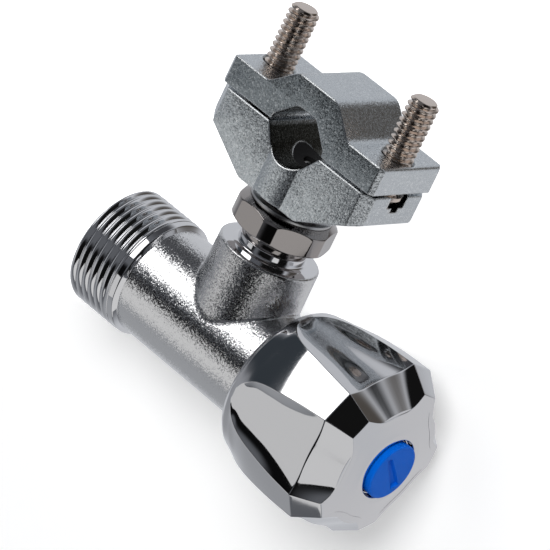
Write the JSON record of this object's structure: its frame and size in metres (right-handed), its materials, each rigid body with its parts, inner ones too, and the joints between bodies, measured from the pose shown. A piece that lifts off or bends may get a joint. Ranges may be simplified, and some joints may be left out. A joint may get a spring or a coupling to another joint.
{
  "type": "saddle valve",
  "caption": "Self-piercing pipe saddle valve with a two-part clamp, lock nut, threaded outlet and a fluted shut-off knob.",
  "frame": {"origin": "middle of the clamped pipe, on its axis, halfway along the clamp", "axes": "+Y along the clamped pipe, +Z along the branch axis away from the valve body, +X parallel to the body axis from the outlet to the knob"},
  "size_m": [0.0817, 0.0381, 0.0862],
  "materials": {
    "satin_chrome": "chrome plated cast brass, fine satin grain with bright turned faces",
    "nickel": "bright nickel plate with a warm tint",
    "steel": "plain stainless steel",
    "zinc": "zinc die casting, blue-grey, fine grain",
    "brass": "plain turned brass",
    "rubber": "matte",
    "mirror_chrome": "mirror chrome plate",
    "blue_plastic": "smooth moulded plastic"
  },
  "bodies": {
    "saddle": {"front_saddle": "zinc", "saddle_seal": "rubber"},
    "cutter_ring": {"cutter_seal": "rubber"},
    "valve": {"valve_body": "satin_chrome", "inlet_nipple": "nickel", "piercing_tube": "steel", "headwork_body": "brass", "headwork_seal": "rubber"},
    "knob": {"spindle": "brass", "spindle_seal": "rubber", "spindle_clip": "steel", "knob": "mirror_chrome", "knob_screw": "steel", "index_cap": "blue_plastic"},
    "disc": {"jumper": "brass", "seat_washer": "rubber", "washer_screw": "brass"},
    "washer": {"nut_washer": "steel"},
    "nut": {"lock_nut": "nickel"},
    "screw_left": {"clamp_screw_left": "nickel", "thrust_washer_left": "steel"},
    "screw_right": {"clamp_screw_right": "nickel", "thrust_washer_right": "steel"},
    "back": {"back_saddle": "zinc"}
  },
  "joints": [
    {"name": "valve_feed", "type": "slide", "parent": "saddle", "child": "cutter_ring", "axis": [0, 0, 1], "range_m": [-0.00067, 0.00067]},
    {"name": "valve_turn", "type": "hinge", "parent": "cutter_ring", "child": "valve", "pos_m": [0, 0, -0.047], "axis": [0, 0, 1], "range_deg": [-180, 180]},
    {"name": "knob_turn", "type": "hinge", "parent": "valve", "child": "knob", "pos_m": [0.03, 0, -0.047], "axis": [1, 0, 0], "range_deg": [0, 810]},
    {"name": "disc_lift", "type": "slide", "parent": "valve", "child": "disc", "axis": [1, 0, 0], "range_m": [0, 0.00451]},
    {"name": "nut_feed", "type": "slide", "parent": "valve", "child": "washer", "axis": [0, 0, 1], "range_m": [-0.00111, 0.00022]},
    {"name": "nut_turn", "type": "hinge", "parent": "washer", "child": "nut", "pos_m": [0, 0, -0.019], "axis": [0, 0, 1], "range_deg": [-300, 60]},
    {"name": "screw_left_turn", "type": "hinge", "parent": "saddle", "child": "screw_left", "pos_m": [-0.017, 0, -0.002], "axis": [0, 0, 1], "range_deg": [-1800, 150]},
    {"name": "screw_right_turn", "type": "hinge", "parent": "saddle", "child": "screw_right", "pos_m": [0.017, 0, -0.002], "axis": [0, 0, 1], "range_deg": [-1800, 150]},
    {"name": "back_lift", "type": "slide", "parent": "saddle", "child": "back", "axis": [0, 0, 1], "range_m": [-0.00053, 0.00635]}
  ],
  "couplings": [
    {"joint": "valve_feed", "follows": "valve_turn", "m_per_rad": 0.00021279},
    {"joint": "disc_lift", "follows": "knob_turn", "m_per_rad": 0.00031831},
    {"joint": "nut_turn", "follows": "nut_feed", "rad_per_m": 4699.5},
    {"joint": "screw_left_turn", "follows": "back_lift", "rad_per_m": -4947.4},
    {"joint": "screw_right_turn", "follows": "back_lift", "rad_per_m": -4947.4}
  ]
}
